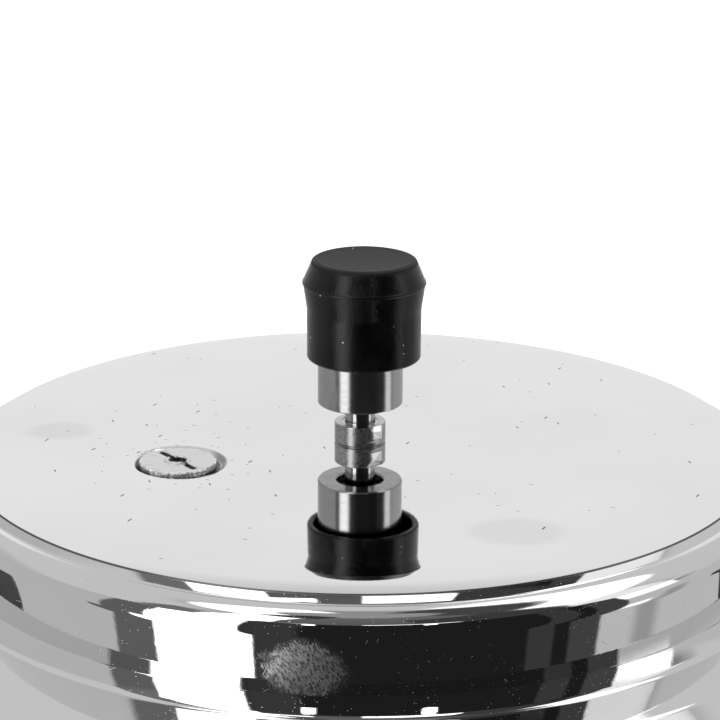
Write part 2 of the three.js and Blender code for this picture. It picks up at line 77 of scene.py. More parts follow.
LID_LOW, LID_HIGH = corners("lid_shell")
LID_TOP = LID_HIGH.z
LID_CROWN = 1.25  # rise of the lid's top from its edge to its centre
CROWN_POWER = 10  # the top is flat in the middle and falls away towards its edge
LID_EDGE_Z = LID_TOP - LID_CROWN
LID_EDGE_RADIUS = 92.0
LID_RADIUS = LID_HIGH.x
SHEET = 1.5  # thickness of the pot's and the lid's steel
POT_LOW, POT_HIGH = corners("pot_body")
PLUG = middle("safety_plug")
PLUG_LOW = corners("safety_plug")[0]
PLUG_SHANK, PLUG_HEAD = 9.0, 1.3  # heights of its two parts
PLUG_TOP = PLUG_LOW.z + PLUG_SHANK + PLUG_HEAD
SLOT_DEPTH = 0.85
SLOT_TURN = math.radians(-54)
FLATS_TURN = math.radians(-52.5)  # where the vent collar's first spanner flat faces
CAP_LOW, CAP_HIGH = corners("weight_cap")
SCREW_HEAD = 2.4  # height of a pan head


# ---------- outlines ----------

def rounded(points, step=8.0):
    """A line of (x, y) or (x, y, corner radius) points with its corners drawn as arcs."""
    result = []
    for i, point in enumerate(points):
        x, y = point[0], point[1]
        radius = point[2] if len(point) > 2 else 0.0
        if radius == 0.0 or i in (0, len(points) - 1):
            result.append((x, y))
            continue
        here = Vector((x, y))
        back = Vector(points[i - 1][:2]) - here
        ahead = Vector(points[i + 1][:2]) - here
        longest = 0.49 * min(back.length, ahead.length)
        back.normalize()
        ahead.normalize()
        corner = back.angle(ahead)
        reach = min(radius / math.tan(corner / 2), longest)
        radius = reach * math.tan(corner / 2)
        centre = here + (back + ahead).normalized() * (radius / math.sin(corner / 2))
        start = here + back * reach - centre
        turn = math.pi - corner
        if back.x * ahead.y - back.y * ahead.x > 0:
            turn = -turn
        steps = max(2, int(abs(math.degrees(turn)) / step))
        for k in range(steps + 1):
            arm = start.copy()
            arm.rotate(Matrix.Rotation(turn * k / steps, 2))
            result.append(tuple(centre + arm))
    return result


def arc(centre, radius, start, end, step=4.0):
    """Points of an arc, with its angles in degrees."""
    steps = max(2, int(abs(end - start) / step))
    angles = [math.radians(start + (end - start) * k / steps) for k in range(steps + 1)]
    return [(centre[0] + radius * math.cos(a), centre[1] + radius * math.sin(a)) for a in angles]


def loop_of(points, step=8.0):
    """A closed line with all of its corners rounded."""
    return rounded([points[-1], *points, points[0]], step)[1:-1]


def stadium(half, reach, z, steps, x=0.0):
    """A level ring with round ends, whose centres are half to either side of x."""
    ring = []
    for side in (1, -1):
        for k in range(steps + 1):
            angle = math.radians(-90 * side + 180 * k / steps)
            ring.append((x + side * half + reach * math.cos(angle), reach * math.sin(angle), z))
    return ring


# ---------- meshes ----------

def linked(name, mesh):
    thing = bpy.data.objects.new(name, mesh)
    bpy.context.scene.collection.objects.link(thing)
    return thing


def new_object(name, vertices, faces, normals=None):
    mesh = bpy.data.meshes.new(name)
    mesh.from_pydata([tuple(v) for v in vertices], [], faces)
    mesh.polygons.foreach_set("use_smooth", [True] * len(mesh.polygons))
    if normals is not None:
        mesh.normals_split_custom_set([tuple(n) for n in normals])
    mesh.update()
    return linked(name, mesh)


def polar(grid):
    """Radius and angle of every point."""
    return np.hypot(grid[..., 0], grid[..., 1]), np.arctan2(grid[..., 1], grid[..., 0])


def widen(grid, radius, wanted):
    """Moves points from their radius to the wanted one, in place."""
    grid[..., :2] *= (wanted / np.maximum(radius, 1e-9))[..., None]


def unit(vectors):
    length = np.linalg.norm(vectors, axis=-1, keepdims=True)
    return vectors / np.maximum(length, 1e-12)


def revolved(name, outline, segments, form=None, crease=32.0):
    """Turns an outline of (radius, height) points in millimetres about Z, the material on its left.

    form(grid) may move the points, an array [outline, segment, xyz], in place. Normals follow the
    final surface, weighted by length along the outline, and split where it bends past the crease.
    """
    radius, height = np.array(outline, float).T
    angle = np.arange(segments) * 2 * math.pi / segments
    grid = np.stack([
        radius[:, None] * np.cos(angle), radius[:, None] * np.sin(angle),
        np.repeat(height[:, None], segments, 1),
    ], -1)
    if form:
        form(grid)
    rows = len(outline)
    closed = radius[0] > 0
    spans = [(i, (i + 1) % rows) for i in range(rows if closed else rows - 1)]
    around = np.roll(grid, -1, 1) - np.roll(grid, 1, 1)
    flat = []
    for a, b in spans:
        along = grid[b] - grid[a]
        weight = np.linalg.norm(along, axis=-1, keepdims=True)
        flat.append(unit(np.cross(unit(around[a] + around[b]), along)) * weight)
    flat = np.array(flat)
    start, end = flat.copy(), flat.copy()
    limit = math.cos(math.radians(crease))
    for s in range(0 if closed else 1, len(spans)):
        same = (unit(flat[s - 1]) * unit(flat[s])).sum(-1, keepdims=True) > limit
        both = flat[s - 1] + flat[s]
        start[s] = np.where(same, both, start[s])
        end[s - 1] = np.where(same, both, end[s - 1])
    start, end = unit(start), unit(end)
    for s, (a, b) in enumerate(spans):
        if radius[a] == 0:
            start[s] = unit(flat[s].mean(0))
        if radius[b] == 0:
            end[s] = unit(flat[s].mean(0))
    vertices, first = [], []
    for i in range(rows):
        first.append(len(vertices))
        vertices.extend([grid[i, 0]] if radius[i] == 0 else list(grid[i]))

    def spot(row, j):
        return first[row] + (0 if radius[row] == 0 else j)

    faces, normals = [], []
    for s, (a, b) in enumerate(spans):
        if radius[a] == 0 and radius[b] == 0:
            continue
        for j in range(segments):
            k = (j + 1) % segments
            face = [(spot(a, j), start[s][j]), (spot(a, k), start[s][k]),
                    (spot(b, k), end[s][k]), (spot(b, j), end[s][j])]
            if radius[a] == 0:
                del face[1]
            elif radius[b] == 0:
                del face[3]
            faces.append([v for v, _ in face])
            normals.extend(n for _, n in face)
    return new_object(name, np.array(vertices) * MM, faces, normals)


def lofted(name, rings, smooth_angle=40.0, endless=False):
    """Joins closed rings of points, in millimetres: end to end, or with a fan over each end."""
    count, size = len(rings[0]), len(rings)
    vertices = [point for ring in rings for point in ring]
    faces = []
    for i in range(size if endless else size - 1):
        m = (i + 1) % size
        for j in range(count):
            k = (j + 1) % count
            faces.append((i * count + j, i * count + k, m * count + k, m * count + j))
    for ring in () if endless else (0, size - 1):
        centre = len(vertices)
        vertices.append(np.mean(rings[ring], axis=0))
        for j in range(count):
            faces.append((centre, ring * count + j, ring * count + (j + 1) % count))
    thing = new_object(name, np.array(vertices) * MM, faces)
    work = bmesh.new()
    work.from_mesh(thing.data)
    bmesh.ops.recalc_face_normals(work, faces=work.faces)
    work.to_mesh(thing.data)
    work.free()
    soften(thing, smooth_angle)
    return thing


def soften(thing, angle):
    thing.data.polygons.foreach_set("use_smooth", [True] * len(thing.data.polygons))
    thing.data.set_sharp_from_angle(angle=math.radians(angle))


def settle(thing):
    """Applies every modifier of a piece to its mesh."""
    graph = bpy.context.evaluated_depsgraph_get()
    mesh = bpy.data.meshes.new_from_object(thing.evaluated_get(graph))
    thing.modifiers.clear()
    thing.data = mesh


def cut_away(thing, cutters, angle=40.0):
    """Takes the cutters out of a piece and removes them."""
    for cutter in cutters:
        modifier = thing.modifiers.new("cut", "BOOLEAN")
        modifier.operation = "DIFFERENCE"
        modifier.solver = "EXACT"
        modifier.object = cutter
        settle(thing)
        bpy.data.objects.remove(cutter)
    soften(thing, angle)
    return thing


def baked(name, work):
    """A piece from a bmesh, which is freed."""
    mesh = bpy.data.meshes.new(name)
    work.to_mesh(mesh)
    work.free()
    thing = linked(name, mesh)
    soften(thing, 40.0)
    return thing


def block(name, low, high, bevel=0.0):
    """A box between two corners in millimetres, with rounded edges."""
    work = bmesh.new()
    bmesh.ops.create_cube(work, size=1.0)
    bmesh.ops.scale(work, vec=Vector(high) - Vector(low), verts=work.verts)
    bmesh.ops.translate(work, vec=(Vector(high) + Vector(low)) / 2, verts=work.verts)
    if bevel:
        bmesh.ops.bevel(work, geom=work.edges[:], offset=bevel, segments=3, profile=0.5, affect="EDGES")
    bmesh.ops.scale(work, vec=(MM, MM, MM), verts=work.verts)
    return baked(name, work)


def moved(thing, x=0.0, y=0.0, z=0.0, turn=0.0):
    """Moves a piece's mesh, in millimetres, after a turn about Z."""
    thing.data.transform(Matrix.Translation(Vector((x, y, z)) * MM) @ Matrix.Rotation(turn, 4, "Z"))
    return thing


def merged(name, things):
    """One piece from several meshes."""
    work = bmesh.new()
    for thing in things:
        work.from_mesh(thing.data)
        bpy.data.objects.remove(thing)
    return baked(name, work)


def place(piece, node, material):
    """The piece stands for a CAD node: it rides on its body and takes its slot."""
    piece.data.materials.clear()
    piece.data.materials.append(material)
    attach(piece, NODE_BODY[node])
    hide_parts(node)


# ---------- node trees ----------

class Graph:
    """Short words for building a node tree."""

    def __init__(self, tree):
        self.tree = tree
        tree.nodes.clear()

    def node(self, kind, inputs=None, **settings):
        node = self.tree.nodes.new(kind)
        for key, value in settings.items():
            setattr(node, key, value)
        for key, value in (inputs or {}).items():
            self.feed(node.inputs[key], value)
        return node

    def feed(self, socket, value):
        if isinstance(value, bpy.types.NodeSocket):
            self.tree.links.new(value, socket)
        else:
            socket.default_value = value

    def math(self, operation, a, b=0.0):
        return self.node("ShaderNodeMath", {0: a, 1: b}, operation=operation).outputs[0]

    def plus(self, a, b):
        return self.math("ADD", a, b)

    def minus(self, a, b):
        return self.math("SUBTRACT", a, b)

    def times(self, a, b):
        return self.math("MULTIPLY", a, b)

    def most(self, a, b):
        return self.math("MAXIMUM", a, b)

    def length(self, x, y):
        return self.math("SQRT", self.plus(self.times(x, x), self.times(y, y)))

    def ramp(self, value, low, high, bottom=0.0, top=1.0):
        inputs = {"Value": value, "From Min": low, "From Max": high, "To Min": bottom, "To Max": top}
        return self.node("ShaderNodeMapRange", inputs, interpolation_type="SMOOTHSTEP").outputs["Result"]

    def spread(self, value, bottom, top):
        """Most of a noise's range, from the bottom to the top."""
        return self.ramp(value, 0.3, 0.7, bottom, top)

    def window(self, value, low, high, soft):
        rise = self.ramp(value, low - soft, low + soft)
        return self.times(rise, self.ramp(value, high - soft, high + soft, 1.0, 0.0))

    def blend(self, factor, a, b):
        node = self.node("ShaderNodeMix", data_type="FLOAT", clamp_factor=True)
        for index, value in ((0, factor), (2, a), (3, b)):
            self.feed(node.inputs[index], value)
        return node.outputs[0]

    def profile(self, value, stops):
        """A curve that eases from each stop to the next."""
        level = stops[0][1]
        for (start, before), (end, after) in zip(stops, stops[1:]):
            level = self.plus(level, self.ramp(value, start, end, 0.0, after - before))
        return level

    def grey(self, value):
        return self.node("ShaderNodeCombineColor", {0: value, 1: value, 2: value}).outputs[0]

    def bump(self, height, strength, distance):
        """The distance is in millimetres."""
        inputs = {"Height": height, "Strength": strength, "Distance": distance * MM}
        return self.node("ShaderNodeBump", inputs).outputs[0]


class Surface(Graph):
    """A material's node tree, with the place in object coordinates, in millimetres, to start from."""

    def __init__(self, name):
        self.material = bpy.data.materials.new(name)
        self.material.use_nodes = True
        super().__init__(self.material.node_tree)
        self.shader = self.node("ShaderNodeBsdfPrincipled")
        self.node("ShaderNodeOutputMaterial", {0: self.shader.outputs[0]})
        spot = self.node("ShaderNodeTexCoord").outputs["Object"]
        metre = (1 / MM, 1 / MM, 1 / MM)
        self.spot = self.node("ShaderNodeVectorMath", {0: spot, 1: metre}, operation="MULTIPLY").outputs[0]
        self.x, self.y, self.z = self.node("ShaderNodeSeparateXYZ", {0: self.spot}).outputs

    def ellipse(self, x, y, centre, half):
        """0 at the centre and 1 round an ellipse of that half size."""
        across = self.math("DIVIDE", self.minus(x, centre[0]), half[0])
        return self.length(across, self.math("DIVIDE", self.minus(y, centre[1]), half[1]))

    def from_plug(self):
        """Distance from the safety plug's axis."""
        return self.length(self.minus(self.x, PLUG.x), self.minus(self.y, PLUG.y))

    def stretched(self, scale, angles=(0, 0, 0), vector=None):
        """Scaled, and then turned."""
        inputs = {"Vector": vector or self.spot, "Scale": scale, "Rotation": angles}
        return self.node("ShaderNodeMapping", inputs).outputs[0]

    def turned(self, *angles):
        return self.stretched((1, 1, 1), angles)

    def noise(self, scale, detail=2.0, rough=0.5, distortion=0.0, vector=None):
        inputs = {"Vector": vector or self.spot, "Scale": scale, "Detail": detail, "Roughness": rough,
                  "Distortion": distortion}
        return self.node("ShaderNodeTexNoise", inputs).outputs[0]

    def specks(self, scale, size, share, flat=False, vector=None):
        """Spots of about size cells, in a share of the cells."""
        inputs = {"Vector": vector or self.spot, "Scale": scale, "Randomness": 1.0}
        cell = self.node("ShaderNodeTexVoronoi", inputs, voronoi_dimensions="2D" if flat else "3D")
        near = self.ramp(cell.outputs["Distance"], size * 0.6, size, 1.0, 0.0)
        parts = self.node("ShaderNodeSeparateColor", {0: cell.outputs["Color"]})
        return self.times(near, self.math("LESS_THAN", parts.outputs[0], share))

    def done(self, tone, rough, normal=None, metallic=1.0, specular=0.5):
        inputs = self.shader.inputs
        self.feed(inputs["Base Color"], self.grey(tone))
        self.feed(inputs["Roughness"], rough)
        if normal:
            self.feed(inputs["Normal"], normal)
        inputs["Metallic"].default_value = metallic
        inputs["Specular IOR Level"].default_value = specular
        return self.material


# ---------- materials ----------

FINGERPRINTS = (((33.4, -59.3), (12.0, 9.0)), ((-71.4, 6.1), (9.0, 7.0)))  # centre and half size
PATCH, PATCH_HALF = (-11.0, LID_EDGE_Z - 14.6), (9.5, 8.0)  # across and up, on the front of the wall


def lid_dashes(look, from_plug, on_top):
    """Short dark dashes on the lid's top, in a few directions and thickest round the plug."""
    share = look.ramp(from_plug, 14, 36, 0.75, 0.11)
    dashes = look.specks(0.10, 0.026, share, True)
    for turn, scale in ((0.4, 0.11), (-0.6, 0.13), (1.3, 0.08), (-1.1, 0.07)):
        across = look.stretched((0.4, 1.7, 1), vector=look.turned(0, 0, turn))
        dashes = look.most(dashes, look.specks(scale, 0.032, share, True, across))
    return look.times(dashes, on_top)


def lid_hairs(look, on_top):
    """Hairline scratches, nearly all of them on the wall."""
    hairs = 0.0
    for tilt, turn in ((0.5, 0.3), (-0.7, -0.4), (1.2, 0.2), (0.1, 0.9)):
        along = look.stretched((0.12, 2.6, 2.6), vector=look.turned(0, tilt, turn))
        hairs = look.most(hairs, look.specks(0.55, 0.12, 0.26, vector=along))
    return look.times(hairs, look.blend(on_top, 1.0, 0.12))


def fingerprint(look, centre, half):
    """Ridges round a point, inside a ragged ellipse."""
    far = look.ellipse(look.x, look.y, centre, half)
    edge = look.plus(far, look.times(look.noise(0.12, 3.0), 0.5))
    ridges = look.math("SINE", look.times(look.plus(far, look.noise(0.05)), 100.0))
    return look.times(look.ramp(edge, 0.85, 1.35, 1.0, 0.0), look.ramp(ridges, -1.0, 1.0, 0.45, 1.0))


def lid_rubbed(look):
    """A patch of fine leaning strokes."""
    far = look.ellipse(look.x, look.z, PATCH, PATCH_HALF)
    edge = look.plus(far, look.times(look.noise(0.5, 4.0, 0.7), 0.7))
    patch = look.times(look.ramp(edge, 1.0, 1.5, 1.0, 0.0), look.ramp(look.y, -90, -60, 1.0, 0.0))
    patch = look.times(patch, look.ramp(look.z, LID_EDGE_Z - 21.2, LID_EDGE_Z - 20.4))
    leaning = look.stretched((3.2, 3.2, 0.8), vector=look.turned(0, 0.5, 0))
    strokes = look.noise(1.0, 4.0, 0.7, vector=leaning)
    return look.times(patch, look.ramp(strokes, 0.34, 0.6, 0.42, 1.0))


def lid_painted_shade(look, from_plug, radius):
    """Painted shade under the plug's head, in the crease round the top, and on the far side of the plug's seat."""
    seat = look.window(from_plug, 8.6, 9.9, 0.25)
    crease = look.window(radius, 92.04, 92.34, 0.05)
    slope = look.window(from_plug, 9.8, 11.4, 0.3)
    slope = look.times(slope, look.ramp(look.x, PLUG.x + 6.5, PLUG.x + 9.5))
    painted_shade = look.most(look.times(seat, 0.9), look.times(crease, 0.85))
    painted_shade = look.most(painted_shade, look.times(slope, 0.5))
    return look.times(painted_shade, look.ramp(look.z, LID_EDGE_Z - 1.2, LID_EDGE_Z - 0.8))


def mirror_lid():
    """Mirror-polished sheet, with all that use has left on it, and painted shade round the plug's seat and in the
    crease round the top.
    """
    look = Surface("polished_lid_steel")
    radius = look.length(look.x, look.y)
    from_plug = look.from_plug()
    on_top = look.ramp(radius, 90.5, 91.5, 1.0, 0.0)
    dashes = lid_dashes(look, from_plug, on_top)
    hairs = lid_hairs(look, on_top)
    prints = 0.0
    for centre, half in FINGERPRINTS:
        prints = look.most(prints, fingerprint(look, centre, half))
    rubbed = lid_rubbed(look)
    painted_shade = lid_painted_shade(look, from_plug, radius)
    tone = look.spread(look.noise(0.018, 3.0), 0.77, 0.81)
    tone = look.blend(look.times(dashes, 0.9), tone, 0.06)
    tone = look.minus(tone, look.times(prints, 0.11))
    # Painted shade: darkens the tone nearly to black round the plug's seat and in the crease round the top.
    tone = look.blend(painted_shade, tone, 0.03)
    rough = look.plus(0.016, look.times(prints, 0.05))
    for amount, strength in ((dashes, 0.25), (hairs, 0.5), (rubbed, 0.33), (painted_shade, 0.4)):
        rough = look.plus(rough, look.times(amount, strength))
    scratches = look.noise(3.0, 4.0, 0.7, vector=look.stretched((1.0, 1.0, 0.12)))
    waves = look.times(look.noise(0.5, 3.0), look.ramp(radius, 92.5, 94, 0.0, 4.5))
    return look.done(tone, rough, look.bump(look.plus(scratches, waves), 0.05, 0.02))


def polished_steel(name, shade=0.78, roughness=0.03):
    look = Surface(name)
    marks = look.specks(0.14, 0.05, 0.4)
    tone = look.blend(look.times(marks, 0.6), shade, 0.2)
    rough = look.spread(look.noise(0.03, 4.0), roughness, roughness + 0.03)
    scratches = look.noise(2.5, 4.0, 0.7, vector=look.stretched((1.0, 1.0, 0.1)))
    return look.done(tone, rough, look.bump(scratches, 0.05, 0.02))


def turned_steel():
    """Bright lathe-turned steel: fine rings round the axis."""
    look = Surface("turned_steel")
    rings = look.noise(1.6, 3.0, 0.6, vector=look.stretched((0.25, 0.25, 9.0)))
    fine = look.noise(1.0, vector=look.stretched((0.5, 0.5, 30.0)))
    height = look.plus(look.times(rings, 0.7), look.times(fine, 0.3))
    rough = look.spread(fine, 0.10, 0.2)
    return look.done(look.spread(rings, 0.40, 0.50), rough, look.bump(height, 0.25, 0.04))


def vent_steel():
    """Polished on the stem, dull and mottled on the collar below it, and bright on the collar's flats."""
    look = Surface("vent_steel")
    grain = look.noise(1.6, 4.0, 0.65)
    collar = look.ramp(look.z, LID_TOP + 4.7, LID_TOP + 4.9, 1.0, 0.0)
    flat = look.times(look.ramp(look.length(look.x, look.y), 5.88, 5.94, 1.0, 0.0),
                      look.window(look.z, LID_TOP + 1.5, LID_TOP + 4.75, 0.05))
    tone = look.blend(flat, look.blend(collar, 0.46, look.spread(grain, 0.29, 0.5)), 0.85)
    rough = look.blend(flat, look.blend(collar, 0.1, look.spread(grain, 0.24, 0.34)), 0.13)
    return look.done(tone, rough, look.bump(grain, 0.3, 0.06))


def dark_shaded_spring_steel():
    # Painted shade: the clip's steel is coloured nearly black for the shade it sits in inside the weight.
    look = Surface("spring_steel_painted_shade")
    cloud = look.noise(0.8, 3.0)
    return look.done(look.spread(cloud, 0.03, 0.06), look.spread(cloud, 0.3, 0.4))


def satin_steel():
    look = Surface("satin_steel")
    grain = look.noise(1.5, 3.0, 0.6, vector=look.stretched((0.3, 6.0, 6.0)))
    rough = look.spread(grain, 0.24, 0.36)
    return look.done(look.spread(grain, 0.5, 0.66), rough, look.bump(grain, 0.2, 0.05))


def base_steel():
    """The base's underside: rings left by turning, and scuffs from the hob."""
    look = Surface("ringed_base_steel")
    rings = look.math("SINE", look.times(look.length(look.x, look.y), 7.0))
    scuffs = look.noise(0.4, 5.0, 0.7, vector=look.stretched((0.4, 1.4, 1.0), (0, 0, 0.6)))
    tone = look.ramp(scuffs, 0.35, 0.65, 0.46, 0.6)
    return look.done(tone, look.ramp(scuffs, 0.35, 0.65, 0.25, 0.4), look.bump(rings, 0.3, 0.06))


def dull_aluminium():
    """Dull aluminium, with painted shade in the plug's slot and a painted highlight round its edge."""
    look = Surface("dull_aluminium")
    cloud = look.noise(0.35, 4.0, 0.6)
    grain = look.noise(3.0, 3.0, 0.7)
    from_plug = look.from_plug()
    # Painted shade: the slot and the central bore, below the head's top face, are made nearly black.
    below = look.ramp(look.z, PLUG_TOP - 0.2, PLUG_TOP - 0.06, 1.0, 0.0)
    slot_shade = look.times(below, look.ramp(from_plug, 7.9, 8.3, 1.0, 0.0))
    side = look.times(below, look.ramp(from_plug, 8.5, 8.8))
    # Painted highlight: ragged stretches of the head's top edge are made white.
    edge = look.times(look.ramp(from_plug, 8.3, 8.55), look.ramp(look.z, PLUG_TOP - 0.3, PLUG_TOP - 0.2))
    rubbed = look.times(edge, look.ramp(look.noise(0.7, 3.0), 0.42, 0.55))
    tone = look.spread(cloud, 0.72, 0.84)
    tone = look.blend(side, tone, look.ramp(grain, 0.35, 0.65, 0.45, 0.75))
    tone = look.blend(slot_shade, tone, 0.07)
    tone = look.blend(rubbed, tone, 1.0)
    return look.done(tone, look.spread(cloud, 0.34, 0.5), look.bump(grain, 0.35, 0.08))


def fusible_alloy():
    look = Surface("fusible_alloy")
    cloud = look.noise(0.8, 4.0, 0.6)
    rough = look.spread(cloud, 0.3, 0.5)
    return look.done(look.spread(cloud, 0.62, 0.8), rough, look.bump(cloud, 0.3, 0.1))


def cap_plastic():
    """Black moulded plastic with a fine grain, dust specks, and a dull top."""
    look = Surface("cap_plastic")
    inputs = {"Vector": look.spot, "Scale": 2.0}
    cells = look.node("ShaderNodeTexVoronoi", inputs, feature="F1").outputs["Distance"]
    grain = look.noise(1.7, 4.0, 0.6, 0.6)
    patches = look.noise(0.16, 3.0, 0.55)
    dust = look.specks(0.42, 0.09, 0.3)
    tone = look.blend(look.times(dust, 0.9), look.spread(patches, 0.001, 0.003), 0.7)
    top = look.ramp(look.z, CAP_HIGH.z - 1.4, CAP_HIGH.z - 0.6)
    rough = look.blend(top, look.spread(patches, 0.12, 0.24), 0.55)
    height = look.plus(look.times(cells, 0.5), grain)
    return look.done(tone, rough, look.bump(height, 0.8, 0.06), 0.0, 0.3)


def phenolic():
    """Black moulded phenolic: nearly smooth, with faint mottling and handling scuffs."""
    look = Surface("black_phenolic")
    mottle = look.noise(0.12, 4.0, 0.6)
    scuffs = look.noise(0.5, 5.0, 0.75, vector=look.stretched((0.25, 2.0, 2.0), (0, 0, 0.2)))
    tone = look.plus(look.spread(mottle, 0.010, 0.018), look.ramp(scuffs, 0.66, 0.8, 0.0, 0.02))
    grain = look.bump(look.noise(1.2, 3.0), 0.12, 0.1)
    return look.done(tone, look.spread(mottle, 0.28, 0.42), grain, 0.0)


def rubber():
    look = Surface("grey_rubber")
    cloud = look.noise(0.2, 4.0)
    grain = look.bump(look.noise(2.5, 3.0), 0.25, 0.1)
    return look.done(look.spread(cloud, 0.05, 0.075), look.spread(cloud, 0.6, 0.75), grain, 0.0)


MIRROR_LID = mirror_lid()
POLISHED = polished_steel("polished_pot_steel")
GUARD = polished_steel("guard_steel", 0.74, 0.06)
TURNED = turned_steel()
VENT = vent_steel()
SHADED_SPRING = dark_shaded_spring_steel()
SATIN = satin_steel()
BASE = base_steel()
ALUMINIUM = dull_aluminium()
ALLOY = fusible_alloy()
CAP = cap_plastic()
PHENOLIC = phenolic()
RUBBER = rubber()


# ---------- lid ----------

def step_between(value, low, high):
    t = np.clip((value - low) / (high - low), 0, 1)
    return t * t * (3 - 2 * t)


def crown(radius):
    """Height of the lid's top above its edge."""
    return LID_CROWN * (1 - (radius / LID_EDGE_RADIUS) ** CROWN_POWER)


def dimple(grid, inner=9.25, outer=11.0, depth=1.1, shift=0.5):
    """Presses the plug's seat into the rows of the lid's top, in place."""
    x, y, z = grid[..., 0], grid[..., 1], grid[..., 2]
    far = np.hypot(x - PLUG.x - shift, y - PLUG.y)
    drop = depth * (1 - step_between(far, inner, outer))
    on_top = z > LID_EDGE_Z - SHEET - 0.6
    z -= np.where(on_top, drop, 0)


def lug_window(angle, centre, count=8, width=20.0, soft=1.6):
    """1 inside the lugs round the rim, 0 between them, with short slopes. Degrees, but for the angle."""
    pitch = 360.0 / count
    away = np.abs((np.degrees(angle) - centre + pitch / 2) % pitch - pitch / 2)
    return 1 - step_between(away, width / 2 - soft, width / 2)


def crown_rows(radius):
    """Rows from the centre of the lid's top outwards, close together where the plug's seat is."""
    distance = math.hypot(PLUG.x, PLUG.y)
    rows = set(np.linspace(0, distance - 15, 9)) | set(np.linspace(distance + 15, radius, 14))
    rows |= set(np.linspace(distance - 14, distance + 14, 90))
    return [(r, crown(r)) for r in sorted(rows)]


def lid_outline():
    """Heights from the edge of the lid's top. Underside from the axis outwards, then the outside."""
    bottom = LID_LOW.z - LID_EDGE_Z
    wall = LID_RADIUS
    lining = wall - SHEET
    inside = [(r, z - SHEET) for r, z in crown_rows(88)]
    inside += rounded([
        (88, crown(88) - SHEET), (91.4, -1.6, 1.0), (92.4, -3.4, 0.6), (97.2, -3.6, 3.5), (97.4, -8),
        (95.5, -20.6, 1.0), (97.5, -25.0, 1.0), (100.2, -26.9, 3), (108.4, -29.4, 4),
        (115.4, -36.0, 4), (lining, -40, 3), (lining, bottom + 0.5)])[1:]
    hem = rounded([
        (lining, bottom + 0.5), (lining, bottom, 0.45), (wall, bottom, 0.7), (wall, bottom + 2)])
    flange = arc((wall - 5, -38.5), 5, 0, 48) + [(109.9, -28.45), (109.5, -28.2), (109.1, -27.9)]
    foot = arc((100.95, -22.935), 2.5, 260, 212, 6) + arc((121.73, -9.952), 27, 212, 204, 1)
    foot += arc((97.613, -20.69), 0.6, 200, 172, 7)
    shoulder = arc((93.6, -7.25), 5.4, 0, 31) + arc((97.372, -4.984), 1.0, 31, 38, 1.5)
    shoulder += arc((93.117, -8.308), 6.4, 38, 83)
    step = arc((93.91, -1.14), 0.8, 264, 218, 8) + arc((113.06, 13.82), 25.1, 218, 213.5, 0.5)
    edge = [(92.02, 0.0)]
    top = [(r, z) for r, z in reversed(crown_rows(91.85))]
    outside = hem + flange + foot + shoulder + step + edge + top
    return [(r, z + LID_EDGE_Z) for r, z in inside + outside]


def lid_form(grid):
    """Presses the plug's seat, and turns the lugs inwards from the foot of the skirt."""
    dimple(grid)
    radius, angle = polar(grid)
    low = (grid[..., 2] < LID_LOW.z + 2.2) & (radius < LID_RADIUS - 0.8)
    widen(grid, radius, radius - np.where(low, lug_window(angle, math.degrees(LOCK_TURN)) * 2.4, 0))


def build_lid():
    place(revolved("lid_sheet", lid_outline(), BIG, lid_form), "lid_shell", MIRROR_LID)


def build_gasket():
    low, high = corners("gasket")
    bottom = low.z - 0.25
    outer = high.x
    outline = loop_of([
        (106.5, bottom, 0.5), (outer, bottom, 0.6), (outer, bottom + 1.6, 0.8), (108.6, bottom + 7.8, 0.6),
        (106.7, bottom + 7.3, 0.6), (107, bottom + 5.6, 0.3), (112.4, bottom + 2.1, 0.5),
        (112.1, bottom + 1.3, 0.3), (106.5, bottom + 1.2, 0.4)])
    place(revolved("lip_gasket", outline, BIG), "gasket", RUBBER)


# ---------- valve ----------

def build_vent():
    outline = loop_of([
        (1.2, -11), (3.8, -11, 0.2), (4.2, -10.4, 0.2), (4.2, 0.0), (5.6, 0.02, 0.05), (5.7, 0.22, 0.05),
        (6.0, 0.42, 0.08), (6.0, 4.98, 0.18), (4.3, 5.0, 0.1), (4.1, 4.75, 0.1), (3.65, 4.75, 0.1),
        (3.55, 5.1, 0.1), (3.55, 21.3, 0.4), (2.6, 22.5, 0.2), (1.9, 22.5, 0.1), (1.2, 21.6, 0.2)])
    tube = revolved("vent_stem", outline, FINE)
    flats = []
    for turn in (0, math.pi):
        flat = block("flat", (5.44, -6, 1.4), (9, 6, 7))
        flats.append(moved(flat, turn=FLATS_TURN + turn))
    cut_away(tube, flats, 30.0)
    place(moved(tube, z=LID_TOP), "vent_tube", VENT)


def hex_nut(name, node, across, hole):
    """A chamfered hexagon with a round hole."""
    low, high = corners(node)
    height = high.z - low.z
    corner = across / math.sqrt(3)
    rim = across / 2 + 0.1

    def form(grid):
        radius, angle = polar(grid)
        side = across / 2 / np.cos((angle + math.pi / 3) % (math.pi / 3) - math.pi / 6)
        widen(grid, radius, np.where(radius > rim + 0.5, side, np.minimum(radius, side)))

    outline = loop_of([
        (hole, 0), (rim, 0), (corner, 0.8), (corner, height - 0.8), (rim, height), (hole, height)])
    nut = revolved(name, outline, FINE, form, 25.0)
    centre = middle(node)
    place(moved(nut, centre.x, centre.y, low.z), node, SATIN)


def build_seals():
    for name, node, hole in (("vent_washer", "vent_seal", 4.5), ("plug_washer", "plug_seal", 6.3)):
        low, high = corners(node)
        centre = (low + high) / 2
        outer, top = (high.x - low.x) / 2, high.z + 0.2
        outline = loop_of([(hole, low.z, 0.2), (outer, low.z, 0.5), (outer, top, 0.5), (hole, top, 0.2)])
        place(moved(revolved(name, outline, FINE), centre.x, centre.y), node, RUBBER)


